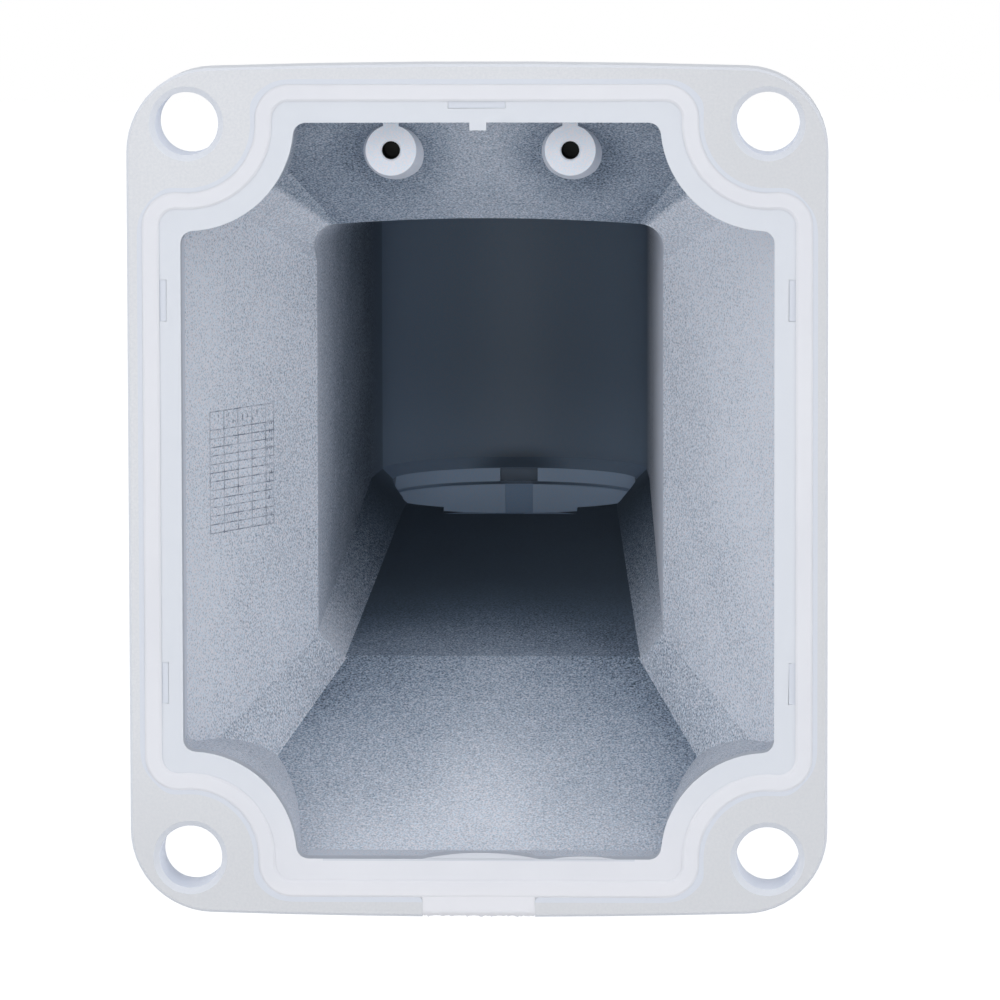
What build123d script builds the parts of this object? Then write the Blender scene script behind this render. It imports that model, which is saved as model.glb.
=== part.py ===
from build123d import *
from math import hypot
import os

# Wall bracket for a pendant dome camera: one hollow casting, its wall seal and its locking screw.
# The back face lies in the plane Y = 0 and the arm stands out along +Y. +Z is up, and +X is to the
# right for someone who looks into the open back. The origin is the middle of the four fixing
# holes, in the plane of the back face. All sizes are in millimetres.

# Wall flange
flange_width = 134.0
flange_height = 164.0
flange_crown = 1.3
flange_thickness = 15.5
flange_corner_radius = 16.0
flange_front_round = 3.5
flange_back_bevel = 0.5

# Fixing holes for 8 to 10 mm anchors, placed from the flange's edges
hole_side_margin = 11.5
hole_end_margin = 11.4
hole_radius = 6.05
hole_bevel = 1.1

# Wall seal, with its bead flush with the back face, and the rebate that it lies in
seal_side_margin = 2.95
seal_end_margin = 3.9
seal_band = 7.2
seal_scallop_radius = 13.2
seal_corner_radius = 6.5
seal_inner_corner_radius = 2.5
seal_bead_width = 3.1
seal_bead_bevel = 0.4
seal_flange_drop = 0.9
seal_gap = 0.08
rebate_depth = 4.9

# Ribs of the casting that key the seal, and the seal's own tab
key_width = 1.4
key_side_length = 7.9
key_side_height = 36.8
key_top_length = 10.9
key_drop = 0.6
key_gap = 0.1
tab_width = 3.8
tab_reach = 1.5
tab_thickness = 2.0

# Conduit notch in the lower edge, filled by the seal's plug
notch_width = 21.7
notch_depth = 11.6
notch_corner_radius = 7.0
plug_drop = 0.3
plug_setback = 0.5

# Hood that narrows from the flange to the arm, and where each of its faces meets the arm
wall = 3.4
mouth_clearance = 0.3
hood_setback = 0.3
neck_top_run = 36.2
neck_side_run = 46.2
neck_floor_run = 56.2
neck_top = 49.4
neck_half_width = 34.4
neck_floor = -39.8

# Facets between the hood's faces: width and height at the mouth and at the far end
top_facet_mouth_width = 10.6
top_facet_mouth_height = 12.5
top_facet_end_width = 7.1
top_facet_end_height = 0.4
floor_facet_mouth_width = 4.5
floor_facet_mouth_height = 15.9
floor_facet_end_width = 0.2
floor_facet_end_height = 9.3
hood_overlap = 3.8
hood_edge_round = 2.5

# Arm, with facets along the floor that widen from the neck to the level part at the outlet
arm_overlap = 4.0
roof_slope = 0.032
roof_crown = 1.6
roof_edge_round = 5.0
arm_facet_start_width = 3.8
arm_facet_start_height = 8.4
arm_facet_bend_width = 6.9
arm_facet_bend_height = 6.4
end_facet = 6.1
level_floor = -19.5
level_floor_run = 24.0
outlet_distance = 193.0
end_radius = 28.4

# Outlet for the camera's threaded stem, G 1 1/2
ledge_width = 2.2
throat_depth = 10.5
throat_band = 2.9
throat_groove_width = 0.7
throat_groove_depth = 0.5
thread_length = 20.0
thread_bore_radius = 22.42
thread_bevel = 1.6
lip_relief_width = 28.4
lip_relief_depth = 0.85
keyway_width = 8.2
keyway_depth = 1.5
key_groove_width = 6.0
key_groove_depth = 0.5
outlet_edge_bevel = 1.2

# Locking screw in the side of the outlet that faces the wall
screw_radius = 2.5
screw_length = 8.0
screw_rise = 10.0
screw_setback = 0.8
screw_socket_width = 2.5
screw_socket_depth = 3.0
screw_bevel = 0.4

# Tapped bosses under the top wall
boss_spacing = 34.6
boss_drop = 6.6
boss_setback = 2.2
boss_radius = 4.9
boss_base_radius = 6.6
boss_length = 17.0
boss_tap_radius = 1.75
boss_tap_depth = 9.5
boss_tap_bevel = 0.3
boss_rib_width = 3.0

# Worked out from the sizes above
hole_x = flange_width / 2 - hole_side_margin
hole_z = flange_height / 2 - hole_end_margin
seal_width = flange_width - 2 * seal_side_margin
seal_height = flange_height - 2 * seal_end_margin
mouth_inset = seal_band - mouth_clearance
mouth_half_width = seal_width / 2 - mouth_inset
mouth_half_height = seal_height / 2 - mouth_inset
hood_start = flange_thickness + hood_setback
hood_end = hood_start + neck_floor_run
hood_side_slope = (mouth_half_width - neck_half_width) / neck_side_run
hood_top_slope = (mouth_half_height - neck_top) / neck_top_run
hood_floor_slope = (mouth_half_height + neck_floor) / neck_floor_run
arm_start = hood_start + neck_top_run - arm_overlap
arm_bend = outlet_distance - level_floor_run
floor_slope = (level_floor - neck_floor) / (arm_bend - hood_end)
arm_side_slope = (neck_half_width - end_radius) / (outlet_distance - hood_start - neck_side_run)
throat_radius = end_radius - ledge_width
ledge_height = level_floor + end_facet - ledge_width
throat_bottom = level_floor - throat_depth
outlet_bottom = throat_bottom - thread_length
collar_radius = end_radius + wall
screw_height = outlet_bottom + screw_rise
boss_height = mouth_half_height - boss_drop
boss_distance = hood_start + boss_setback
beyond = 2 * (outlet_distance + flange_height)


def slab(profile, start, end):
    """A flat XZ profile carried along +Y from start to end."""
    face = Plane.XZ.offset(-start) * profile
    return extrude(face, amount=end - start, dir=(0, 1, 0))


def box(x, y, z):
    """A box between pairs of coordinates."""
    size = Box(x[1] - x[0], y[1] - y[0], z[1] - z[0])
    return Pos((x[0] + x[1]) / 2, (y[0] + y[1]) / 2, (z[0] + z[1]) / 2) * size


def upright(radius, bottom, top):
    """A cylinder on the outlet's axis."""
    return Pos(0, outlet_distance, (bottom + top) / 2) * Cylinder(radius, top - bottom)


def seal_outline(inset):
    """The seal's outline moved inwards by inset: a rectangle scalloped round the fixing holes."""
    width = seal_width - 2 * inset
    height = seal_height - 2 * inset
    outline = Rectangle(width, height)
    for side in (-1, 1):
        for end in (-1, 1):
            outline -= Pos(side * hole_x, end * hole_z) * Circle(seal_scallop_radius + inset)
    radius = max(seal_corner_radius - inset, seal_inner_corner_radius)
    return fillet(outline.vertices(), radius)


def seal_ring(outer, inner, start, end):
    """The band between two outlines of the seal, from start to end in depth."""
    return slab(seal_outline(outer), start, end) - slab(seal_outline(inner), start, end)


def flange():
    """The wall flange, with straight sides and slightly crowned top and bottom edges."""
    x = flange_width / 2
    crown = flange_height / 2
    corner = crown - flange_crown
    right = Line((x, -corner), (x, corner))
    top = ThreePointArc((x, corner), (0, crown), (-x, corner))
    left = Line((-x, corner), (-x, -corner))
    bottom = ThreePointArc((-x, -corner), (0, -crown), (x, -corner))
    outline = make_face([right, top, left, bottom])
    body = slab(fillet(outline.vertices(), flange_corner_radius), 0, flange_thickness)
    body = fillet(body.faces().sort_by(Axis.Y)[-1].edges(), flange_front_round)
    return chamfer(body.faces().sort_by(Axis.Y)[0].edges(), flange_back_bevel)


def hood_section(distance, grow, top_facet, floor_facet):
    """The hood's section at a distance from the wall, moved outwards by grow on each face."""
    run = distance - hood_start
    side_grow = grow * hypot(1, hood_side_slope)
    top_grow = grow * hypot(1, hood_top_slope)
    floor_grow = grow * hypot(1, hood_floor_slope)
    side = mouth_half_width - hood_side_slope * run
    top = mouth_half_height - hood_top_slope * run
    floor = -mouth_half_height + hood_floor_slope * run
    corners = [
        (side - top_facet[0] + side_grow / 2, top + top_grow),
        (side + side_grow, top - top_facet[1] + top_grow / 2),
        (side + side_grow, floor + floor_facet[1] - floor_grow / 2),
        (side - floor_facet[0] + 0.8 * side_grow, floor - floor_grow),
    ]
    mirrored = [(-x, z) for x, z in reversed(corners)]
    return Plane.XZ.offset(-distance) * make_face(Polyline(*corners, *mirrored, close=True))


def hood(start, grow):
    """The solid inside the hood's walls, from start to a little past its creases with the arm."""
    far_end = hood_end + hood_overlap
    mouth = hood_section(
        hood_start,
        grow,
        (top_facet_mouth_width, top_facet_mouth_height),
        (floor_facet_mouth_width, floor_facet_mouth_height),
    )
    end = hood_section(
        far_end,
        grow,
        (top_facet_end_width, top_facet_end_height),
        (floor_facet_end_width, floor_facet_end_height),
    )
    body = loft([mouth, end], ruled=True)
    if grow > 0:
        creases = body.edges().filter_by(lambda e: abs(e.tangent_at(0.5).Y) > 0.5)
        body = fillet(creases, hood_edge_round)
    straight = box(
        (-mouth_half_width - grow, mouth_half_width + grow),
        (start, hood_start),
        (-mouth_half_height - grow, mouth_half_height + grow),
    )
    return (body + straight) & slab(seal_outline(mouth_inset - grow), start, far_end)


def arm_section(distance, grow, facet_width, facet_height):
    """The arm's section under its roof at a distance from the wall, moved outwards by grow."""
    side = end_radius + arm_side_slope * (outlet_distance - distance) + grow
    floor = min(level_floor, neck_floor + floor_slope * (distance - hood_end))
    floor -= grow if distance >= arm_bend else grow * hypot(1, floor_slope)
    corners = [
        (side, beyond),
        (side, floor + facet_height + grow / 2),
        (side - facet_width - grow / 2, floor),
    ]
    mirrored = [(-x, z) for x, z in reversed(corners)]
    return Plane.XZ.offset(-distance) * make_face(Polyline(*corners, *mirrored, close=True))


def roof_body(grow):
    """Everything under the arm's crowned roof."""
    top = neck_top + roof_slope * arm_overlap + grow
    x = flange_width / 2
    low = top - roof_crown * (x / neck_half_width) ** 2
    arc = ThreePointArc((x, low), (0, top), (-x, low))
    sides = Polyline((-x, low), (-x, -beyond), (x, -beyond), (x, low))
    face = Plane.XZ.offset(-arm_start) * make_face([arc, sides])
    return extrude(face, amount=beyond, dir=(0, 1, -roof_slope))


def arm(grow):
    """The solid inside the arm's walls: faceted floor, round end and rounded roof edges."""
    start = arm_section(arm_start, grow, arm_facet_start_width, arm_facet_start_height)
    bend = arm_section(arm_bend, grow, arm_facet_bend_width, arm_facet_bend_height)
    end = arm_section(outlet_distance, grow, end_facet, end_facet)
    round_end = upright(end_radius + grow, level_floor - grow, beyond)
    round_end = chamfer(round_end.faces().sort_by(Axis.Z)[0].edges(), end_facet + grow / 2)
    body = (loft([start, bend, end], ruled=True) + round_end) & roof_body(grow)
    roof = body.faces().sort_by(Axis.Z)[-1]
    edges = roof.edges().filter_by(lambda e: e.center().Y > arm_start + arm_overlap)
    return fillet(edges, roof_edge_round + grow)


def collar():
    """The round outlet under the end of the arm, closed at its top."""
    body = upright(collar_radius, outlet_bottom, ledge_height)
    return chamfer(body.faces().sort_by(Axis.Z)[0].edges(), outlet_edge_bevel)


def outlet_hollow():
    """What is cut for the outlet: throat, its groove and keyway, lip relief and thread bore."""
    hollow = upright(throat_radius, throat_bottom, ledge_height)
    groove_top = ledge_height - throat_band
    groove_bottom = groove_top - throat_groove_width
    hollow += upright(throat_radius + throat_groove_depth, groove_bottom, groove_top)
    middle = outlet_distance + throat_radius / 2
    front = outlet_distance + throat_radius
    half = keyway_width / 2
    hollow += box((-half, half), (middle, front + keyway_depth), (groove_top, ledge_height))
    half = key_groove_width / 2
    hollow += box((-half, half), (middle, front + key_groove_depth), (throat_bottom, groove_top))
    half = lip_relief_width / 2
    relief = level_floor - lip_relief_depth
    hollow += box((-half, half), (arm_start, outlet_distance), (relief, ledge_height))
    hollow += upright(thread_bore_radius, outlet_bottom, throat_bottom)
    bevel = Cone(thread_bore_radius + thread_bevel, thread_bore_radius, thread_bevel)
    return hollow + Pos(0, outlet_distance, outlet_bottom + thread_bevel / 2) * bevel


def fixing_holes():
    """The four holes through the flange, each with its edge broken at the back."""
    edge_radius = hole_radius + hole_bevel
    hole = Cylinder(hole_radius, flange_thickness) + Pos(
        0, 0, (flange_thickness - hole_bevel) / 2
    ) * Cone(hole_radius, edge_radius, hole_bevel)
    hole = Pos(0, flange_thickness / 2, 0) * Rot(90, 0, 0) * hole
    places = [(x, z) for x in (-hole_x, hole_x) for z in (-hole_z, hole_z)]
    return [Pos(x, 0, z) * hole for x, z in places]


def notch(gap, start, bottom, top):
    """The round-cornered slot of the conduit notch, made smaller all round by gap."""
    depth = notch_depth - gap
    outline = Rectangle(notch_width - 2 * gap, 2 * depth)
    outline = fillet(outline.vertices(), notch_corner_radius)
    body = Pos(0, 0, bottom) * extrude(outline, amount=top - bottom)
    return body & box((-beyond, beyond), (start, beyond), (bottom, top))


def key_ribs(gap):
    """The five ribs in the rebate that key the seal, made larger all round by gap."""
    side = seal_width / 2 - seal_bead_width
    top = seal_height / 2 - seal_bead_width
    half = key_top_length / 2 + gap
    depth = (key_drop - gap, rebate_depth + gap)
    ribs = [box((-half, half), depth, (top - key_width - gap, top + gap))]
    half = key_side_length / 2 + gap
    for x in (-side, side):
        inner = x - (key_width + gap) * x / abs(x)
        outer = x + gap * x / abs(x)
        for z in (-key_side_height, key_side_height):
            ribs.append(box(sorted((inner, outer)), depth, (z - half, z + half)))
    return ribs


def boss(x):
    """A tapered boss with the web that ties it to the top wall."""
    cone = Cone(boss_base_radius, boss_radius, boss_length)
    cone = Pos(x, boss_distance + boss_length / 2, boss_height) * Rot(90, 0, 0) * cone
    web = box(
        (x - boss_rib_width / 2, x + boss_rib_width / 2),
        (boss_distance, boss_distance + boss_length),
        (boss_height, mouth_half_height + wall / 2),
    )
    return cone + web


def boss_tap(x):
    """The blind tap hole of a boss, at its tap drill size, with a small lead-in."""
    hole = Pos(0, 0, -boss_tap_depth / 2) * Cylinder(boss_tap_radius, boss_tap_depth)
    lead = Cone(boss_tap_radius, boss_tap_radius + boss_tap_bevel, boss_tap_bevel)
    hole += Pos(0, 0, -boss_tap_bevel / 2) * lead
    return Pos(x, boss_distance, boss_height) * Rot(90, 0, 0) * hole


def screw_hole():
    """The cross hole for the locking screw, through the outlet's wall."""
    length = collar_radius
    hole = Pos(0, outlet_distance - length / 2, screw_height) * Rot(90, 0, 0)
    return hole * Cylinder(screw_radius, length)


def bracket_body():
    """The one-piece casting."""
    shell = hood(rebate_depth, wall)
    body = flange() + shell + arm(wall) + collar()
    body -= hood(rebate_depth, 0)
    body -= arm(0)
    for x in (-boss_spacing / 2, boss_spacing / 2):
        body += boss(x) & shell
        body -= boss_tap(x)
    body -= slab(seal_outline(-seal_gap), 0, rebate_depth)
    body -= notch(0, 0, -flange_height, -mouth_half_height + 1)
    body -= fixing_holes()
    body += key_ribs(0)
    body -= outlet_hollow()
    body -= screw_hole()
    return body


def wall_gasket():
    """The moulded seal: bead, flange, tab and the plug that fills the conduit notch."""
    body = seal_ring(0, seal_bead_width, 0, rebate_depth)
    rims = body.faces().sort_by(Axis.Y)[0].edges()
    body = chamfer(rims, seal_bead_bevel)
    body += seal_ring(seal_bead_width, seal_band, seal_flange_drop, rebate_depth)
    inner_height = seal_height / 2 - seal_band
    body += box(
        (-tab_width / 2, tab_width / 2),
        (seal_flange_drop, seal_flange_drop + tab_thickness),
        (inner_height - tab_reach, inner_height + 1),
    )
    bottom = -flange_height / 2 + plug_setback
    body += notch(seal_gap, rebate_depth, bottom, -inner_height)
    body += notch(seal_gap, plug_drop, bottom, -seal_height / 2 + 1)
    body -= key_ribs(key_gap)
    return body


def lock_screw():
    """A headless screw with a hexagon socket, bevelled at both ends."""
    body = chamfer(Cylinder(screw_radius, screw_length).edges().filter_by(GeomType.CIRCLE), screw_bevel)
    socket = RegularPolygon(screw_socket_width / 2, 6, major_radius=False)
    body -= Pos(0, 0, screw_length / 2 - screw_socket_depth) * extrude(
        socket, amount=screw_socket_depth
    )
    near_end = outlet_distance - collar_radius + screw_setback
    return Pos(0, near_end + screw_length / 2, screw_height) * Rot(90, 0, 0) * body


os.makedirs("parts", exist_ok=True)
for name, make in (
    ("bracket_body", bracket_body),
    ("wall_gasket", wall_gasket),
    ("lock_screw", lock_screw),
):
    piece = make()
    print(name, len(piece.solids()), piece.is_valid, round(piece.volume), piece.bounding_box())
    export_step(piece, "parts/" + name + ".step")
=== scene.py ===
import bpy
import bmesh
import random
from math import hypot, pi, radians
from mathutils import Matrix, Vector


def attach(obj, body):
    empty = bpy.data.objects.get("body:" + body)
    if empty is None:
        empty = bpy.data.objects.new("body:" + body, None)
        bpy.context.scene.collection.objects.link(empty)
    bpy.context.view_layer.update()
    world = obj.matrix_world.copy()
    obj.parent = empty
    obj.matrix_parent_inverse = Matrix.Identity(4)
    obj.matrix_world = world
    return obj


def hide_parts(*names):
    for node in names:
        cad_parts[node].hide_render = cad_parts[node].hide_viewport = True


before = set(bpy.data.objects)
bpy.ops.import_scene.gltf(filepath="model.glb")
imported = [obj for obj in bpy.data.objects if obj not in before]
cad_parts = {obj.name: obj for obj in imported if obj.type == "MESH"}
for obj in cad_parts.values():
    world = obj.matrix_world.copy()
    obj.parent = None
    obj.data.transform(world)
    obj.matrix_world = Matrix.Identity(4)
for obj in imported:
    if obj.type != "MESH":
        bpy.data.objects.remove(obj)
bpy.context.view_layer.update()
scene = bpy.context.scene

# The camera looks into the open back from the wall side, a little from the right and from above.
# Its lens and place were fitted to the symmetric edges of the flange, the seal and the hood.
lens = bpy.data.cameras.new("camera")
lens.sensor_width = 36.0
lens.lens = 291.6
lens.clip_start = 0.1
lens.clip_end = 40.0
camera = bpy.data.objects.new("camera", lens)
scene.collection.objects.link(camera)
scene.camera = camera
yaw = Matrix.Rotation(radians(2.21), 4, "Z")
pitch = Matrix.Rotation(radians(90.0 - 5.54), 4, "X")
roll = Matrix.Rotation(radians(-0.13), 4, "Z")
camera.matrix_world = Matrix.Translation((0.06379, -1.54160, 0.14825)) @ yaw @ pitch @ roll


# White surroundings of a product photograph. To the camera and in reflections they are plain
# white, and on the object they lie as a soft, slightly cool light from all sides.
def node(tree, kind, inputs=None, **settings):
    """A new node with its settings, and its inputs set to a value or linked from a socket."""
    made = tree.nodes.new(kind)
    for key, value in settings.items():
        setattr(made, key, value)
    for key, value in (inputs or {}).items():
        if isinstance(value, bpy.types.NodeSocket):
            tree.links.new(value, made.inputs[key])
        else:
            made.inputs[key].default_value = value
    return made


def maths(tree, operation, first, second=0.5, third=0.5):
    """One step of arithmetic between sockets or values."""
    return node(
        tree, "ShaderNodeMath", {0: first, 1: second, 2: third}, operation=operation
    ).outputs[0]


def seen_directly(tree):
    """1 for rays of the camera, of reflections and of clear materials, and 0 for diffuse light."""
    path = node(tree, "ShaderNodeLightPath").outputs
    either = maths(tree, "MAXIMUM", path["Is Camera Ray"], path["Is Glossy Ray"])
    return maths(tree, "MAXIMUM", either, path["Is Transmission Ray"])


world = bpy.data.worlds.new("studio")
scene.world = world
world.use_nodes = True
tree = world.node_tree
tree.nodes.clear()
soft_fill = node(
    tree, "ShaderNodeBackground", {"Color": (0.90, 0.94, 1.0, 1.0), "Strength": 0.60}
)
white = node(tree, "ShaderNodeBackground", {"Color": (1.0, 1.0, 1.0, 1.0), "Strength": 1.0})
surround = node(
    tree,
    "ShaderNodeMixShader",
    {0: seen_directly(tree), 1: soft_fill.outputs[0], 2: white.outputs[0]},
)
node(tree, "ShaderNodeOutputWorld", {"Surface": surround.outputs[0]})
scene.view_settings.view_transform = "Standard"

# A wide white floor lies well below the object, which hangs free as it does in the photograph,
# so its soft shadow falls outside the camera's view.
floor_level = -0.36
plane = bmesh.new()
bmesh.ops.create_grid(plane, x_segments=1, y_segments=1, size=9.0)
floor_mesh = bpy.data.meshes.new("floor")
plane.to_mesh(floor_mesh)
plane.free()
floor_mesh.transform(Matrix.Translation((0.0, 0.1, floor_level)))
floor = bpy.data.objects.new("floor", floor_mesh)
scene.collection.objects.link(floor)
floor_paint = bpy.data.materials.new("white_floor")
floor_paint.use_nodes = True
tree = floor_paint.node_tree
tree.nodes.clear()
matt = node(tree, "ShaderNodeBsdfDiffuse", {"Color": (0.60, 0.60, 0.60, 1.0)})
glow = node(tree, "ShaderNodeEmission", {"Color": (1.0, 1.0, 1.0, 1.0), "Strength": 0.75})
lit = node(tree, "ShaderNodeAddShader", {0: matt.outputs[0], 1: glow.outputs[0]})
shown = node(
    tree,
    "ShaderNodeMixShader",
    {0: seen_directly(tree), 1: matt.outputs[0], 2: lit.outputs[0]},
)
node(tree, "ShaderNodeOutputMaterial", {"Surface": shown.outputs[0]})
floor_mesh.materials.append(floor_paint)

# Five soft boxes light the object at a plain level. One hangs above the camera, two are in front,
# and one stands on each side.
for name, place, target, size, power in (
    ("key", (-0.15, -1.45, 1.05), (0.0, 0.05, 0.0), 1.2, 3.5),
    ("front", (-0.10, -1.90, 0.30), (0.0, 0.1, 0.0), 1.0, 3.0),
    ("low", (-0.05, -1.40, -0.10), (0.0, 0.1, 0.0), 0.45, 1.3),
    ("left", (-0.85, -1.45, 0.20), (0.0, 0.05, 0.0), 0.8, 5.6),
    ("right", (1.15, -1.20, 0.15), (0.0, 0.05, 0.0), 0.9, 4.7),
):
    light = bpy.data.lights.new(name, "AREA")
    light.shape = "SQUARE"
    light.size = size
    light.energy = power
    lamp = bpy.data.objects.new(name, light)
    scene.collection.objects.link(lamp)
    aim = (Vector(target) - Vector(place)).to_track_quat("-Z", "Y")
    lamp.matrix_world = Matrix.Translation(place) @ aim.to_matrix().to_4x4()

# The bracket is one hollow aluminium die casting with a light grey powder coat. The thread of its
# outlet is cut afterwards: a V groove that follows a helix, made here by cutting one turn after
# another out of the CAD solid's bore.
outlet_axis = 0.193
thread_bottom = -0.052
thread_top = -0.0322
thread_pitch = 0.002309
thread_root = 0.0237
thread_crest = 0.0222
groove_foot = 0.92
groove_tip = 0.12
hole_x = 0.0555
hole_z = 0.0706
seal_half_width = 0.0641
seal_half_height = 0.0782
seal_bend = 0.0132
seal_corner = 0.11715
strip_width = 0.00095


def joined_copy(name):
    """A copy of a CAD node's mesh, with its loose triangles joined and no stored normals."""
    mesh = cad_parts[name].data.copy()
    if "custom_normal" in mesh.attributes:
        mesh.attributes.remove(mesh.attributes["custom_normal"])
    work = bmesh.new()
    work.from_mesh(mesh)
    bmesh.ops.remove_doubles(work, verts=work.verts, dist=1e-6)
    for face in work.faces:
        face.smooth = True
    work.to_mesh(mesh)
    work.free()
    return mesh


casting_mesh = joined_copy("bracket_body")
casting = bpy.data.objects.new("casting", casting_mesh)
scene.collection.objects.link(casting)


def blend_colours(tree, share, first, second, blend="MIX"):
    """The socket of a mix of two colours, each a value or a socket."""
    made = tree.nodes.new("ShaderNodeMix")
    made.data_type = "RGBA"
    made.blend_type = blend
    for place, value in ((0, share), (6, first), (7, second)):
        if isinstance(value, bpy.types.NodeSocket):
            tree.links.new(value, made.inputs[place])
        else:
            made.inputs[place].default_value = value
    return made.outputs[2]


def material(name, roughness):
    """A new material, with its tree, its shader and the object's own coordinates."""
    made = bpy.data.materials.new(name)
    made.use_nodes = True
    shader = made.node_tree.nodes["Principled BSDF"]
    shader.inputs["Roughness"].default_value = roughness
    where = made.node_tree.nodes.new("ShaderNodeTexCoord").outputs["Object"]
    return made, made.node_tree, shader, where


def noise(tree, where, scale, detail=2.0, roughness=0.5):
    """The value of a noise whose features are about 1 / scale metres wide."""
    return node(
        tree,
        "ShaderNodeTexNoise",
        {"Vector": where, "Scale": scale, "Detail": detail, "Roughness": roughness},
    ).outputs["Fac"]


def spread(tree, value, low, high, start=0.0, end=1.0):
    """A value's range from low to high, stretched smoothly to start and end."""
    return node(
        tree,
        "ShaderNodeMapRange",
        {"Value": value, "From Min": low, "From Max": high, "To Min": start, "To Max": end},
        interpolation_type="SMOOTHSTEP",
    ).outputs["Result"]


def bump(tree, shader, height, distance):
    """Sets a bump of that height, in metres, on the shader."""
    made = node(
        tree, "ShaderNodeBump", {"Height": height, "Distance": distance, "Strength": 1.0}
    )
    tree.links.new(made.outputs[0], shader.inputs["Normal"])


def coordinates(tree, where):
    """The sockets of a place's three coordinates."""
    return node(tree, "ShaderNodeSeparateXYZ", {0: where}).outputs


def length(tree, across, up):
    """How long the line is that goes so far across and so far up."""
    flat = node(tree, "ShaderNodeCombineXYZ", {"X": across, "Y": up})
    return node(
        tree, "ShaderNodeVectorMath", {0: flat.outputs[0]}, operation="LENGTH"
    ).outputs["Value"]


def face_value(tree, name):
    """The value that each face carries under that name."""
    return node(tree, "ShaderNodeAttribute", attribute_name=name).outputs["Fac"]


def specks(tree, where, scale, radius, channel, rarity, strength):
    """Tiny round specks, each in the middle of one of the few cells that pass the rarity."""
    cells = node(tree, "ShaderNodeTexVoronoi", {"Vector": where, "Scale": scale})
    dot = maths(tree, "LESS_THAN", cells.outputs["Distance"], radius)
    chance = node(tree, "ShaderNodeSeparateColor", {0: cells.outputs["Color"]}).outputs[channel]
    few = maths(tree, "GREATER_THAN", chance, rarity)
    return maths(tree, "MULTIPLY", maths(tree, "MULTIPLY", dot, few), strength)


powder_coat, tree, shader, where = material("powder_coat", 0.48)
clouds = spread(tree, noise(tree, where, 35.0, 3.0), 0.3, 0.7)
grain = spread(tree, noise(tree, where, 1900.0, 2.0, 0.6), 0.25, 0.75)
tone = blend_colours(tree, clouds, (0.680, 0.684, 0.702, 1.0), (0.702, 0.705, 0.721, 1.0))
coat_colour = blend_colours(tree, grain, (0.640, 0.650, 0.675, 1.0), tone)
from_middle, _, from_centre = coordinates(tree, where)
# Painted shade: the plate is painted darker towards its right side and its bottom, where less
# light falls on it.
right = spread(tree, from_middle, 0.0, 0.062, 0.0, 0.35)
bottom = spread(tree, from_centre, -0.078, -0.040, 0.35, 0.0)
dust_and_painted_shade = maths(tree, "MAXIMUM", right, bottom)
coat_colour = blend_colours(tree, dust_and_painted_shade, coat_colour, (0.520, 0.523, 0.535, 1.0))
from_middle = maths(tree, "ABSOLUTE", from_middle)
from_centre = maths(tree, "ABSOLUTE", from_centre)
past_side = maths(tree, "SUBTRACT", from_middle, seal_half_width)
past_top = maths(tree, "SUBTRACT", from_centre, seal_half_height)
from_hole = length(
    tree,
    maths(tree, "SUBTRACT", from_middle, hole_x),
    maths(tree, "SUBTRACT", from_centre, hole_z),
)
past_bend = maths(tree, "SUBTRACT", seal_bend, from_hole)
past_corner = maths(tree, "ADD", from_middle, from_centre)
past_corner = maths(tree, "SUBTRACT", past_corner, seal_corner)
past_corner = maths(tree, "MULTIPLY", past_corner, 0.7071)
past_seal = maths(tree, "MAXIMUM", past_side, past_top)
past_seal = maths(tree, "SMOOTH_MAX", past_seal, past_bend, 0.003)
past_seal = maths(tree, "SMOOTH_MAX", past_seal, past_corner, 0.004)
# Painted shade: a soft bluish band on the plate all round the seal, where the groove beside the
# bead lies in shade.
painted_seal_shade = maths(tree, "LESS_THAN", past_seal, strip_width)
painted_seal_shade = maths(tree, "MULTIPLY", painted_seal_shade, 0.75)
coat_colour = blend_colours(tree, painted_seal_shade, coat_colour, (0.625, 0.658, 0.730, 1.0))
# Painted highlight: faces marked as rims, the plate's outer edges and the walls of its fixing
# holes, are painted lighter and cooler.
coat_colour = blend_colours(tree, face_value(tree, "edge"), coat_colour, (0.900, 0.930, 1.0, 1.0))
pinholes = specks(tree, where, 55.0, 0.0095, 0, 0.55, 0.55)
tree.links.new(
    blend_colours(tree, pinholes, coat_colour, (0.25, 0.24, 0.23, 1.0)), shader.inputs["Base Color"]
)
peel = noise(tree, where, 800.0, 2.0)
bump(tree, shader, maths(tree, "SUBTRACT", peel, pinholes), 0.00003)
tree.links.new(spread(tree, peel, 0.3, 0.7, 0.42, 0.54), shader.inputs["Roughness"])


def new_group(name, inputs):
    """A tree of Geometry Nodes with inputs of a label, kind and value, and their sockets."""
    group = bpy.data.node_groups.new(name, "GeometryNodeTree")
    for label, kind, value in inputs:
        socket = group.interface.new_socket(label, in_out="INPUT", socket_type=kind)
        if value is not None:
            socket.default_value = value
    group.interface.new_socket("Geometry", in_out="OUTPUT", socket_type="NodeSocketGeometry")
    return group, node(group, "NodeGroupInput").outputs


def mesh_of_group(carrier, group, result, finish):
    """Ends the tree in plain meshes with a finish, and gives the carrier the mesh it makes."""
    solid = node(group, "GeometryNodeRealizeInstances", {0: result})
    painted = node(
        group, "GeometryNodeSetMaterial", {"Geometry": solid.outputs[0], "Material": finish}
    )
    node(group, "NodeGroupOutput", {0: painted.outputs[0]})
    modifier = carrier.modifiers.new(group.name, "NODES")
    modifier.node_group = group
    evaluated = carrier.evaluated_get(bpy.context.evaluated_depsgraph_get())
    mesh = bpy.data.meshes.new_from_object(evaluated)
    carrier.modifiers.remove(modifier)
    carrier.data = mesh
    return mesh


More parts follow.
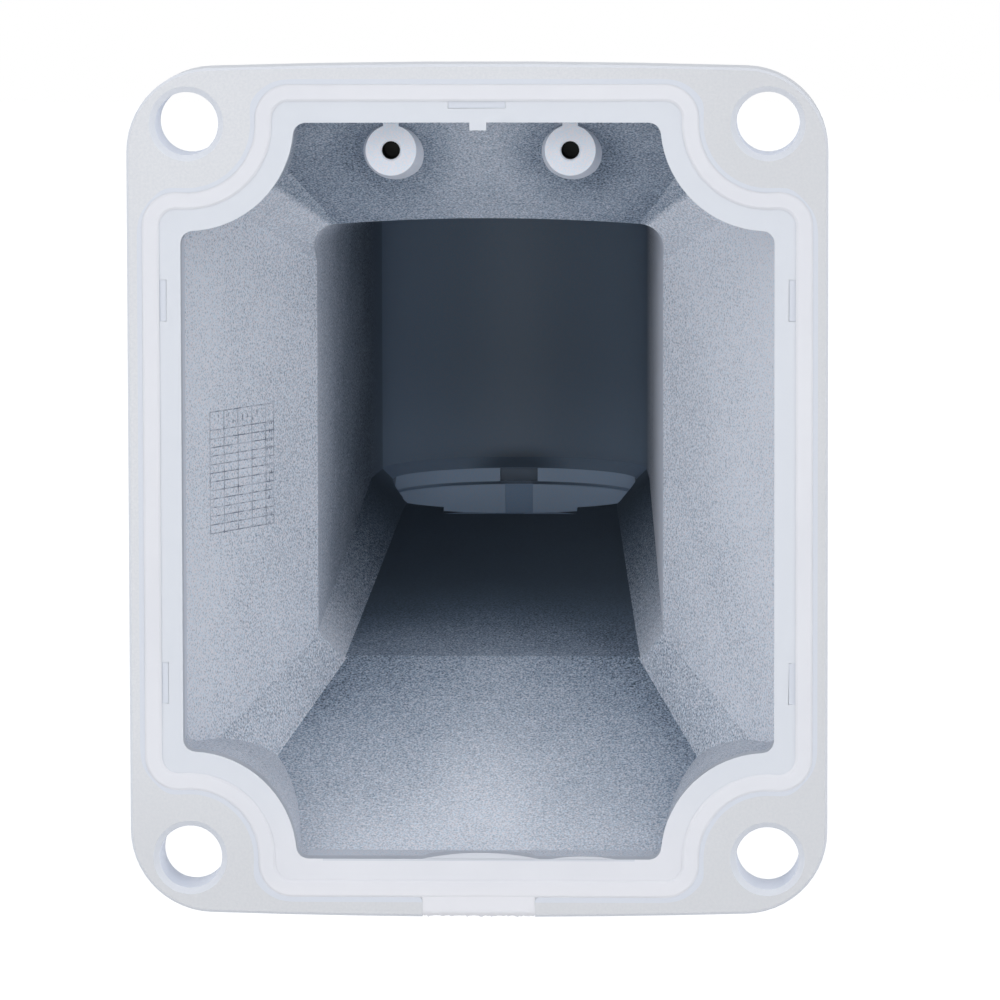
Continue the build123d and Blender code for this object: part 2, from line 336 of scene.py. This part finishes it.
cutting, start = new_group(
    "thread_cutting",
    (
        ("Geometry", "NodeSocketGeometry", None),
        ("Pitch", "NodeSocketFloat", thread_pitch),
        ("Height", "NodeSocketFloat", thread_top - thread_bottom),
        ("Root radius", "NodeSocketFloat", thread_root),
        ("Crest radius", "NodeSocketFloat", thread_crest),
    ),
)
turns = maths(cutting, "DIVIDE", start["Height"], start["Pitch"])
helix = node(
    cutting,
    "GeometryNodeCurveSpiral",
    {
        "Resolution": 72,
        "Rotations": turns,
        "Start Radius": start["Crest radius"],
        "End Radius": start["Crest radius"],
        "Height": start["Height"],
    },
)
upright = node(
    cutting, "GeometryNodeSetCurveNormal", {"Curve": helix.outputs[0]}, mode="Z_UP"
)
groove_depth = maths(cutting, "SUBTRACT", start["Root radius"], start["Crest radius"])
profile = node(
    cutting,
    "GeometryNodeCurvePrimitiveQuadrilateral",
    {
        "Height": groove_depth,
        "Bottom Width": maths(cutting, "MULTIPLY", start["Pitch"], groove_foot),
        "Top Width": maths(cutting, "MULTIPLY", start["Pitch"], groove_tip),
        "Offset": 0.0,
    },
    mode="TRAPEZOID",
)
half_way = node(
    cutting, "ShaderNodeCombineXYZ", {"X": maths(cutting, "MULTIPLY", groove_depth, -0.5)}
)
turned = node(
    cutting,
    "GeometryNodeTransform",
    {
        "Geometry": profile.outputs[0],
        "Translation": half_way.outputs[0],
        "Rotation": (0.0, 0.0, pi / 2),
    },
)
thread = node(
    cutting,
    "GeometryNodeCurveToMesh",
    {"Curve": upright.outputs[0], "Profile Curve": turned.outputs[0], "Fill Caps": True},
)
placed = node(
    cutting,
    "GeometryNodeTransform",
    {"Geometry": thread.outputs[0], "Translation": (0.0, outlet_axis, thread_bottom)},
)
cut = node(
    cutting,
    "GeometryNodeMeshBoolean",
    {"Mesh 1": start["Geometry"], "Mesh 2": placed.outputs[0]},
    operation="DIFFERENCE",
    solver="EXACT",
)
threaded = mesh_of_group(casting, cutting, cut.outputs["Mesh"], powder_coat)

# Outside, the powder coat covers the casting fully. Inside, only overspray reaches the walls: a
# fine light speckle on dark bare metal, which thins out with the depth.
# Towards the creases the faces darken, partly from thinner overspray and partly as painted shade,
# and further painted light and shade lie on the inside, set below.
# Each face is told apart by where it lies and how it slopes, with a small margin.
margin = 0.0017
mouth_x, mouth_z, mouth_depth = 0.05715, 0.0712, 0.0158
hood_side_slope, hood_top_slope, hood_floor_slope = 0.492, 0.602, 0.559
hood_end, arm_start = 0.0745, 0.048
arm_half_width, arm_taper, arm_end_radius = 0.0284, 0.0458, 0.0301
arm_top, arm_rise = 0.0497, 0.032
floor_bend, floor_at_bend, floor_rise, level_floor = 0.072, -0.0398, 0.209, -0.0195
boss_x, boss_z, boss_radius, boss_depth = 0.0173, 0.0646, 0.0075, 0.040
tap_radius, tap_depth = 0.00185, 0.030
hood_top_normal = (0.0, -0.516, -0.857)
thread_radius, bore_top = 0.0248, -0.0301
throat_radius, throat_top = 0.0279, -0.0155
keyway_radius, keyway_bottom, ledge_bottom = 0.02705, -0.0187, -0.0197
hole_radius, bend_radius = 0.0080, 0.022


def hollow_part(place, normal):
    """Which part of the hollow a face belongs to, or None for the outside."""
    x, y, z = abs(place.x), place.y, place.z
    run = y - mouth_depth
    from_axis = hypot(place.x, y - outlet_axis)
    from_hole = hypot(x - hole_x, abs(z) - hole_z)
    if from_axis < thread_radius and z < bore_top:
        return "thread"
    if from_axis < throat_radius and z < throat_top:
        # Painted shade: the sliver where the ledge ends against the arm's facets takes the facets'
        # darker tone instead of the outlet's light metal.
        if y < outlet_axis + 0.004 and z > ledge_bottom:
            return "arm_facet"
        return "keyway" if from_axis > keyway_radius and z > keyway_bottom else "throat"
    outwards = normal.x * place.x + normal.z * (z - 0.01)
    if run < 0.0:
        if outwards > 0.0 or y < 0.0012 or from_hole < hole_radius:
            return None
        if x > mouth_x + margin or abs(z) > mouth_z + margin or abs(normal.y) > 0.9:
            return None
        if z > 0.045:
            return "mouth_top"
        return "scallop" if z < 0.0 and from_hole < bend_radius else "mouth"
    from_boss = hypot(x - boss_x, z - boss_z)
    if from_boss < tap_radius and y < tap_depth and not 0.5 < abs(normal.y) < 0.95:
        return "tap"
    on_hood_top = abs(normal.dot(hood_top_normal)) > 0.985
    if from_boss < boss_radius and y < boss_depth and not on_hood_top:
        return "boss"
    if y > outlet_axis:
        outwards += normal.y * (y - outlet_axis)
    if outwards > 0.0:
        return None
    hood_low = -mouth_z + hood_floor_slope * run - margin
    hood_high = mouth_z - hood_top_slope * run + margin
    in_hood = x < mouth_x - hood_side_slope * run + margin and hood_low < z < hood_high
    if in_hood and y < 0.045 and abs(normal.y) < 0.3 and from_hole < bend_radius:
        return "scallop" if z < 0.0 else "mouth_top"
    sideways = abs(normal.x) > 0.15
    if in_hood and y < hood_end and normal.y < -0.3:
        if sideways:
            return "hood_side"
        return "hood_top" if normal.z < 0.0 else "hood_floor"
    if y < outlet_axis:
        in_arm = x < arm_half_width + arm_taper * (outlet_axis - y) + margin
    else:
        in_arm = from_axis < arm_end_radius
    arm_low = min(level_floor, floor_at_bend + floor_rise * (y - floor_bend)) - margin
    arm_high = arm_top + arm_rise * (y - arm_start) + margin
    if y > arm_start and in_arm and arm_low < z < arm_high:
        if normal.z < -0.9:
            return "arm_roof"
        if y > outlet_axis:
            if normal.z > 0.3:
                return "arm_floor" if normal.z > 0.97 else "end_bevel"
            return "arm_end"
        if normal.z > 0.3:
            return "arm_facet" if sideways else "arm_floor"
        return "arm_side" if place.x < 0.0 else "arm_far_side"
    return None


# Each face of the hollow carries five things about its overspray: how thick it would be at the
# wall, the depth where it ends, what is left there, how smooth the surface is, and its creases.
# The thickness and what is left also hold painted light and shade: the arm's right wall is painted
# lighter than its left one, and the hood's top, which faces down, darker than its floor and sides.
overspray = {
    "mouth": (1.20, 0.40, 0.0, 0.0),
    "mouth_top": (0.52, 1.00, 0.0, 0.0),
    "scallop": (0.95, 0.60, 0.0, 0.0),
    "tap": (0.0, 0.10, 0.0, -1.0),
    "boss": (2.40, 0.30, 0.0, 0.0),
    "hood_top": (0.56, 1.00, 0.0, 0.0),
    "hood_floor": (1.24, 0.18, 0.0, 0.0),
    "hood_side": (1.08, 0.44, 0.0, 0.0),
    "arm_floor": (2.22, 0.125, 0.033, 0.0),
    "arm_side": (1.34, 0.24, 0.045, 1.0),
    "arm_far_side": (2.55, 0.30, 0.20, 1.0),
    "arm_facet": (2.05, 0.185, 0.03, 1.0),
    "arm_roof": (1.0, 0.20, 0.02, 0.0),
    "arm_end": (0.0, 0.10, 0.28, 1.0),
    "end_bevel": (0.0, 0.10, 0.54, 2.0),
    "throat": (0.0, 0.10, 0.82, 2.0),
    "keyway": (0.0, 0.10, 0.20, 2.0),
}
hood_crease = (0.0610, 0.565)
no_crease = (100.0, 0.0)
creases = {
    "hood_top": hood_crease,
    "hood_floor": (0.0592, 0.4155),
    "arm_floor": (0.0357, 0.077),
}
shape = bmesh.new()
shape.from_mesh(threaded)
notch_corners = [
    edge
    for edge in shape.edges
    if all(0.0105 < abs(v.co.x) < 0.0112 and -0.0788 < v.co.z < -0.0776 for v in edge.verts)
    and abs(edge.verts[0].co.y - edge.verts[1].co.y) > 0.001
]
bmesh.ops.bevel(
    shape, geom=notch_corners, offset=0.0007, segments=4, profile=0.5, affect="EDGES"
)
labels = ("overspray_and_painted_light", "ends_at", "least", "smooth_wall", "crease_start", "crease_slope")
layers = [shape.faces.layers.float.new(label) for label in labels]
painted_rim_light = shape.faces.layers.float.new("edge")
coat_index, overspray_index, cut_index = range(3)
for face in shape.faces:
    place = face.calc_center_median()
    part = hollow_part(place, face.normal)
    x, y, z = abs(place.x), place.y, abs(place.z)
    outermost = x > 0.0645 or z > 0.0800 or x + z > 0.1260
    in_hole = hypot(x - hole_x, z - hole_z) < hole_radius
    # Painted highlight: the plate's outer rims are marked to be lightened a little, the walls of
    # its fixing holes fully.
    if part is None and y < 0.012 and abs(face.normal.y) < 0.97 and (outermost or in_hole):
        face[painted_rim_light] = 1.0 if in_hole and abs(face.normal.y) < 0.3 else 0.42
    face.smooth = True
    face.material_index = coat_index
    if part == "thread":
        face.material_index = cut_index
    elif part is not None:
        face.material_index = overspray_index
        values = list(overspray[part] + creases.get(part, no_crease))
        # Painted shade: the hood's sloped facets are painted darker the more they face up, a
        # little the more they face down, and the upper ones darken towards the top's crease.
        if part == "hood_side":
            values[0] -= 1.05 * max(0.0, face.normal.z) + 0.20 * max(0.0, -face.normal.z)
            if face.normal.z < -0.1:
                values[4:] = hood_crease
        for layer, value in zip(layers, values):
            face[layer] = value
shape.to_mesh(threaded)
shape.free()
threaded.set_sharp_from_angle(angle=radians(14.0))


def steps(tree, value, stops):
    """A colour that changes with a value, through stops of place and colour."""
    made = node(tree, "ShaderNodeValToRGB", {0: value})
    elements = made.color_ramp.elements
    while len(elements) < len(stops):
        elements.new(1.0)
    for element, (place, colour) in zip(elements, stops):
        element.position = place
        element.color = (*colour, 1.0)
    return made.outputs[0]


inside_finish, tree, shader, where = material("overspray_and_painted_light_on_metal", 0.6)
sideways, depth, height = coordinates(tree, where)
aside = maths(tree, "ABSOLUTE", sideways)
left = maths(tree, "DIVIDE", depth, face_value(tree, "ends_at"))
left = maths(tree, "SUBTRACT", 1.0, left)
left = maths(tree, "MAXIMUM", left, 0.0)
overspray_and_painted_light = maths(tree, "MULTIPLY", left, left)
overspray_and_painted_light = maths(tree, "MULTIPLY", overspray_and_painted_light, face_value(tree, "overspray_and_painted_light"))
# Towards the creases the faces darken, partly from thinner overspray and partly as painted shade;
# at the upper left the crease line is moved a little.
upper_left = maths(tree, "LESS_THAN", sideways, 0.0)
upper_left = maths(tree, "MULTIPLY", upper_left, maths(tree, "GREATER_THAN", height, 0.0))
slope = maths(tree, "MULTIPLY_ADD", upper_left, -0.018, face_value(tree, "crease_slope"))
crease = maths(tree, "MULTIPLY_ADD", upper_left, -0.0010, face_value(tree, "crease_start"))
crease = maths(tree, "SUBTRACT", crease, maths(tree, "MULTIPLY", depth, slope))
to_crease = maths(tree, "DIVIDE", aside, crease)
near_crease = maths(tree, "MULTIPLY_ADD", maths(tree, "POWER", to_crease, 1.5), -0.5, 1.0)
past_crease = spread(tree, to_crease, 0.965, 1.035)
near_crease = maths(tree, "MAXIMUM", near_crease, past_crease)
# Painted shade: the inside is painted darker around the bosses, where they shade the hood's top.
from_boss = length(
    tree,
    maths(tree, "SUBTRACT", aside, boss_x),
    maths(tree, "SUBTRACT", height, boss_z),
)
painted_boss_shade = spread(tree, from_boss, 0.0062, 0.015, 0.62, 1.0)
# Painted light: the inside is painted lighter upwards and darker downwards, the more so the
# further right, as the light falls there.
painted_light_tilt = maths(tree, "MULTIPLY_ADD", sideways, 20.0, 1.3)
painted_light_tilt = maths(tree, "MULTIPLY_ADD", painted_light_tilt, height, 1.0)
overspray_and_painted_light = maths(tree, "MULTIPLY", overspray_and_painted_light, painted_light_tilt)
share = maths(tree, "MULTIPLY", overspray_and_painted_light, maths(tree, "MULTIPLY", near_crease, painted_boss_shade))
share = maths(tree, "ADD", share, face_value(tree, "least"))
fading = spread(tree, depth, 0.165, 0.205, -1.0, 0.0)
smooth_wall = maths(tree, "ADD", face_value(tree, "smooth_wall"), fading)
tapped = maths(tree, "LESS_THAN", smooth_wall, -1.5)
smooth_wall = node(tree, "ShaderNodeClamp", {0: smooth_wall}).outputs[0]
drift = spread(tree, noise(tree, where, 45.0, 3.0), 0.25, 0.75, -0.06, 0.06)
speck = maths(tree, "SUBTRACT", noise(tree, where, 2600.0, 1.0, 0.6), 0.5)
creased = maths(tree, "LESS_THAN", face_value(tree, "crease_start"), 1.0)
speck = maths(tree, "MULTIPLY", speck, maths(tree, "MULTIPLY_ADD", creased, -0.65, 1.95))
speck = maths(tree, "ADD", speck, drift)
rough_wall = maths(tree, "SUBTRACT", 1.0, smooth_wall)
gain = maths(tree, "MULTIPLY", spread(tree, share, 0.0, 0.24), rough_wall)
gain = maths(tree, "MULTIPLY", gain, spread(tree, share, 0.95, 1.30, 1.0, 0.25))
mask = maths(tree, "MULTIPLY_ADD", speck, gain, share)
inside_colour = steps(
    tree,
    mask,
    (
        (0.0, (0.036, 0.052, 0.070)),
        (0.11, (0.096, 0.132, 0.175)),
        (0.27, (0.208, 0.258, 0.326)),
        (0.45, (0.340, 0.396, 0.468)),
        (0.67, (0.530, 0.570, 0.630)),
        (1.0, (0.780, 0.808, 0.860)),
    ),
)

# Painted light on the bare metal of the outlet and the far wall: it is painted lighter towards its
# sides, towards its top and near the ledge, and darker to the right.
# Below it lie the ledge's line, the band with its keyway and the bluish groove; a shadow over the
# keyway, the ledge's line and a bluish column in the groove are painted shade, where the light
# reaches less.
glow = maths(tree, "DIVIDE", aside, arm_half_width)
glow = maths(tree, "MULTIPLY", glow, glow)
glow = maths(tree, "MULTIPLY_ADD", glow, 0.29, face_value(tree, "least"))
glow = maths(tree, "ADD", glow, spread(tree, height, -0.01, 0.045, 0.0, 0.20))
glow = maths(tree, "ADD", glow, spread(tree, height, -0.012, 0.012, 0.08, 0.0))
glow = maths(tree, "MULTIPLY_ADD", sideways, -1.8, glow)
above_ledge = maths(tree, "SUBTRACT", height, throat_top)
over_keyway = length(tree, maths(tree, "MULTIPLY", aside, 0.42), above_ledge)
shade = spread(tree, over_keyway, 0.0012, 0.0056, 0.60, 0.0)
shade = maths(tree, "MULTIPLY", maths(tree, "GREATER_THAN", above_ledge, 0.0), shade)
outlet = maths(tree, "GREATER_THAN", face_value(tree, "smooth_wall"), 1.5)
line = maths(tree, "ABSOLUTE", maths(tree, "ADD", height, 0.01885))
line = maths(tree, "LESS_THAN", line, 0.0003)
line = maths(tree, "MULTIPLY", line, spread(tree, aside, 0.004, 0.024, 0.75, 0.3))
line = maths(tree, "MULTIPLY", outlet, line)
groove = maths(tree, "MAXIMUM", aside, maths(tree, "ADD", height, 0.0222))
groove = maths(tree, "MULTIPLY", outlet, maths(tree, "LESS_THAN", groove, 0.003))
groove = maths(tree, "MULTIPLY", groove, 0.42)
shade = maths(tree, "SUBTRACT", 1.0, maths(tree, "MAXIMUM", shade, line))
glow = maths(tree, "MULTIPLY", glow, shade)
bare = steps(tree, glow, ((0.0, (0.010, 0.023, 0.040)), (1.0, (0.40, 0.51, 0.65))))
bare = blend_colours(tree, groove, bare, (0.085, 0.170, 0.300, 1.0))
inside_colour = blend_colours(tree, smooth_wall, inside_colour, bare)
tint = spread(tree, noise(tree, where, 2900.0, 1.0), 0.3, 0.7)
tint = blend_colours(tree, tint, (0.93, 1.0, 1.04, 1.0), (1.08, 1.0, 0.98, 1.0))
inside_colour = blend_colours(tree, 1.0, inside_colour, tint, "MULTIPLY")
# Painted shade: the walls of the tapped holes are painted black, standing in for the shadow inside
# them.
inside_colour = blend_colours(tree, tapped, inside_colour, (0.0, 0.0, 0.0, 1.0))
tree.links.new(inside_colour, shader.inputs["Base Color"])
tree.links.new(spread(tree, mask, 0.0, 1.0, 0.58, 0.75), shader.inputs["Roughness"])
bump(tree, shader, mask, 0.00003)

cut_metal, tree, shader, where = material("cut_metal", 0.3)
shader.inputs["Metallic"].default_value = 1.0
drawn_out = node(tree, "ShaderNodeMapping", {"Vector": where, "Scale": (1.0, 1.0, 30.0)})
marks = noise(tree, drawn_out.outputs[0], 400.0)
tree.links.new(
    blend_colours(tree, marks, (0.62, 0.63, 0.64, 1.0), (0.74, 0.75, 0.76, 1.0)),
    shader.inputs["Base Color"],
)
tree.links.new(spread(tree, marks, 0.3, 0.7, 0.24, 0.40), shader.inputs["Roughness"])
bump(tree, shader, marks, 0.00002)

kinds = [polygon.material_index for polygon in threaded.polygons]
threaded.materials.clear()
for made in (powder_coat, inside_finish, cut_metal):
    threaded.materials.append(made)
threaded.polygons.foreach_set("material_index", kinds)
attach(casting, "root")
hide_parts("bracket_body")

# A small calendar grid stands on the left side wall of the hood, as the mould's makers put there:
# thin raised lines in four wide columns and one narrow one, under a header, with worn marks.
narrow_column = 0.0031
tick_width, tick_height = 0.00042, 0.00065
calendar, start = new_group(
    "calendar_grid",
    (
        ("Rows", "NodeSocketInt", 13),
        ("Row pitch", "NodeSocketFloat", 0.00168),
        ("Columns", "NodeSocketInt", 5),
        ("Column pitch", "NodeSocketFloat", 0.00541),
        ("Line width", "NodeSocketFloat", 0.00021),
        ("Line height", "NodeSocketFloat", 0.00004),
        ("Header", "NodeSocketFloat", 0.0036),
        ("Seed", "NodeSocketInt", 7),
    ),
)


def sized(x, y):
    """A vector of two lengths and the height of the lines."""
    return node(
        calendar, "ShaderNodeCombineXYZ", {"X": x, "Y": y, "Z": start["Line height"]}
    ).outputs[0]


def moved(geometry, x, y):
    """The geometry, shifted in the plane of the grid."""
    shift = node(calendar, "ShaderNodeCombineXYZ", {"X": x, "Y": y}).outputs[0]
    return node(
        calendar, "GeometryNodeTransform", {"Geometry": geometry, "Translation": shift}
    ).outputs[0]


def line_of_points(count, x, y):
    """Points in a row, one step of x and y apart."""
    step = node(calendar, "ShaderNodeCombineXYZ", {"X": x, "Y": y}).outputs[0]
    line = node(calendar, "GeometryNodeMeshLine", {"Count": count, "Offset": step})
    return line.outputs[0]


def set_on(points, shape, selection=True):
    """The shape, set on each of the selected points."""
    return node(
        calendar,
        "GeometryNodeInstanceOnPoints",
        {"Points": points, "Instance": shape, "Selection": selection},
    ).outputs[0]


wide = maths(calendar, "SUBTRACT", start["Columns"], 1.0)
wide = maths(calendar, "MULTIPLY", start["Column pitch"], wide)
whole = maths(calendar, "ADD", wide, narrow_column)
down = maths(calendar, "MULTIPLY", start["Row pitch"], -1.0)
tall = maths(calendar, "SUBTRACT", start["Rows"], 1.0)
tall = maths(calendar, "MULTIPLY_ADD", start["Row pitch"], tall, start["Header"])
middle = maths(calendar, "MULTIPLY_ADD", tall, -0.5, start["Header"])
half = maths(calendar, "MULTIPLY", whole, 0.5)
bar = node(calendar, "GeometryNodeMeshCube", {"Size": sized(whole, start["Line width"])})
post = node(calendar, "GeometryNodeMeshCube", {"Size": sized(start["Line width"], tall)})
rows = moved(line_of_points(start["Rows"], 0.0, down), half, 0.0)
columns = moved(line_of_points(start["Columns"], start["Column pitch"], 0.0), 0.0, middle)
lines = [
    set_on(rows, bar.outputs[0]),
    moved(bar.outputs[0], half, start["Header"]),
    set_on(columns, post.outputs[0]),
    moved(post.outputs[0], whole, middle),
]
ticks = node(calendar, "GeometryNodeMeshCube", {"Size": sized(tick_width, tick_height)}).outputs[0]
for corner, size, counts, chance, seed in (
    ((0.0108, -0.0100), (0.0216, 0.0202), (5, 13), 0.30, 0),
    ((0.0231, -0.0100), (0.0016, 0.0196), (3, 13), 0.75, 1),
    ((0.0108, 0.0019), (0.0150, 0.0014), (9, 3), 0.45, 2),
):
    cells = node(
        calendar,
        "GeometryNodeMeshGrid",
        {"Size X": size[0], "Size Y": size[1], "Vertices X": counts[0], "Vertices Y": counts[1]},
    ).outputs[0]
    pick = node(calendar, "FunctionNodeRandomValue", data_type="BOOLEAN")
    pick.inputs["Probability"].default_value = chance
    calendar.links.new(maths(calendar, "ADD", start["Seed"], float(seed)), pick.inputs["Seed"])
    lines.append(set_on(moved(cells, corner[0], corner[1]), ticks, pick.outputs[3]))
joined = node(calendar, "GeometryNodeJoinGeometry")
for part in lines:
    calendar.links.new(part, joined.inputs[0])

worn_line, tree, shader, where = material("worn_line", 0.7)
wear = spread(tree, noise(tree, where, 420.0, 2.0, 0.7), 0.36, 0.64)
tree.links.new(
    blend_colours(tree, wear, (0.20, 0.23, 0.29, 1.0), (0.56, 0.59, 0.66, 1.0)),
    shader.inputs["Base Color"],
)
carrier = bpy.data.objects.new("calendar", bpy.data.meshes.new("calendar"))
scene.collection.objects.link(carrier)
grid_mesh = mesh_of_group(carrier, calendar, joined.outputs[0], worn_line)
along_wall = Vector((0.4418, 0.8971, 0.0))
off_wall = Vector((0.8971, -0.4418, 0.0))
place = Matrix((along_wall, (0.0, 0.0, 1.0), off_wall)).transposed().to_4x4()
place.translation = (-0.05306, 0.0241, 0.0097)
grid_mesh.transform(place)
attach(carrier, "root")

# The wall seal is moulded in one soft white rubber: a bead that meets the wall, a flange inside
# it, a tab at the top and the plug that fills the conduit notch. It swells sideways a little, its
# plug is torn off raggedly below, and its inner edge bulges above the plug.
swelling = 0.00013
outer_edge_depth, inner_edge_depth, flange_depth = 0.00012, 0.00020, 0.00040
fringe_half_width, fringe_top, fringe_bottom, fringe_steps = 0.01075, -0.0812, -0.0817, 60
bulge_foot, bulge_depth, bulge_steps = -0.0707, 0.00041, 32
seal_mesh = joined_copy("wall_gasket")
for vertex in seal_mesh.vertices:
    x, y, z = vertex.co
    outer = abs(x) > 0.063 or abs(z) > 0.077 or abs(x) + abs(z) > 0.1145
    outer = outer or hypot(abs(x) - hole_x, abs(z) - hole_z) < 0.0145
    vertex.co += Vector((vertex.normal.x, 0.0, vertex.normal.z)) * swelling
    if 0.00025 < y < 0.0005:
        vertex.co.y = outer_edge_depth if outer else inner_edge_depth
    if 0.0008 < y < 0.0010:
        vertex.co.y = flange_depth
    if z < -0.0811:
        vertex.co.z -= 0.00012
    if abs(x) < 0.0021 and 0.065 < z < 0.0715:
        vertex.co.x = x * 0.84 + 0.0002
added = bmesh.new()
added.from_mesh(seal_mesh)
tear = random.Random(4)
fringe = [(-fringe_half_width, fringe_top)]
for step in range(fringe_steps + 1):
    low = fringe_bottom - tear.choice((0.0, 0.0, 0.00005, 0.00010, 0.00018, 0.00030))
    fringe.append((-fringe_half_width + 2 * fringe_half_width * step / fringe_steps, low))
fringe.append((fringe_half_width, fringe_top))
added.faces.new([added.verts.new((x, 0.00010, z)) for x, z in fringe])
for first, last, rise in ((-0.0106, 0.0114, 0.00112), (0.0141, 0.0260, 0.00048)):
    along = [step / bulge_steps for step in range(bulge_steps + 1)]
    curve = [
        (first + (last - first) * s, bulge_depth, bulge_foot + rise * 4.0 * s * (1.0 - s))
        for s in along
    ]
    curve += [(x, bulge_depth, bulge_foot - 0.00006) for x in (last, first)]
    added.faces.new([added.verts.new(place) for place in curve])
for side in (-1.0, 1.0):
    fillet = ((0.0107, -0.0780), (0.0120, -0.0780), (0.0120, -0.0793), (0.0107, -0.0793))
    added.faces.new([added.verts.new((side * x, 0.00032, z)) for x, z in fillet])
added.to_mesh(seal_mesh)
added.free()
seal_mesh.set_sharp_from_angle(angle=radians(12.0))
seal = bpy.data.objects.new("seal", seal_mesh)
scene.collection.objects.link(seal)

white_rubber, tree, shader, where = material("white_rubber", 0.42)
clouds = spread(tree, noise(tree, where, 30.0, 3.0), 0.3, 0.7)
tone = blend_colours(tree, clouds, (0.705, 0.708, 0.745, 1.0), (0.735, 0.737, 0.770, 1.0))
sideways, depth, height = coordinates(tree, where)
# Painted shade: the recessed flange is painted darker and bluer, except near the bottom of the
# seal, as it lies in shade.
upper = spread(tree, height, -0.074, -0.050, 0.0, 0.85)
flange = maths(tree, "MULTIPLY", spread(tree, depth, 0.00022, 0.00038), upper)
tone = blend_colours(tree, flange, tone, (0.655, 0.680, 0.727, 1.0))
# Painted shade: the faces deeper than the flange, and the bulge above the plug, are painted
# darker.
bulge = maths(tree, "COMPARE", height, -0.0700, 0.00118)
bulge = maths(tree, "MULTIPLY", bulge, maths(tree, "COMPARE", sideways, 0.0, 0.030))
painted_deep_shade = maths(tree, "MAXIMUM", bulge, spread(tree, depth, 0.0006, 0.0009))
tone = blend_colours(tree, painted_deep_shade, tone, (0.605, 0.625, 0.675, 1.0))
lower = spread(tree, height, -0.0780, -0.0735, 1.0, 0.0)
tone = blend_colours(tree, lower, tone, (0.745, 0.742, 0.772, 1.0))
dust_and_painted_shade = specks(tree, where, 70.0, 0.008, 1, 0.72, 0.45)
tree.links.new(
    blend_colours(tree, dust_and_painted_shade, tone, (0.30, 0.26, 0.24, 1.0)), shader.inputs["Base Color"]
)
shader.inputs["Subsurface Weight"].default_value = 0.25
shader.inputs["Subsurface Radius"].default_value = (1.0, 1.0, 1.0)
shader.inputs["Subsurface Scale"].default_value = 0.0012
skin = noise(tree, where, 500.0, 2.0)
bump(tree, shader, skin, 0.00002)
tree.links.new(spread(tree, skin, 0.3, 0.7, 0.36, 0.46), shader.inputs["Roughness"])
seal_mesh.materials.clear()
seal_mesh.materials.append(white_rubber)
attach(seal, "root")
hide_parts("wall_gasket")

# The locking screw is a small headless screw of zinc-plated steel, turned and threaded, with a
# hexagon socket. It sits in the wall side of the outlet and stops what is screwed in there.
zinc, tree, shader, where = material("zinc_plate", 0.35)
shader.inputs["Metallic"].default_value = 1.0
stain = spread(tree, noise(tree, where, 900.0, 3.0), 0.3, 0.7)
tree.links.new(
    blend_colours(tree, stain, (0.50, 0.51, 0.53, 1.0), (0.66, 0.67, 0.69, 1.0)),
    shader.inputs["Base Color"],
)
tree.links.new(spread(tree, stain, 0.0, 1.0, 0.28, 0.45), shader.inputs["Roughness"])
bump(tree, shader, stain, 0.00001)
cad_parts["lock_screw"].material_slots[0].material = zinc
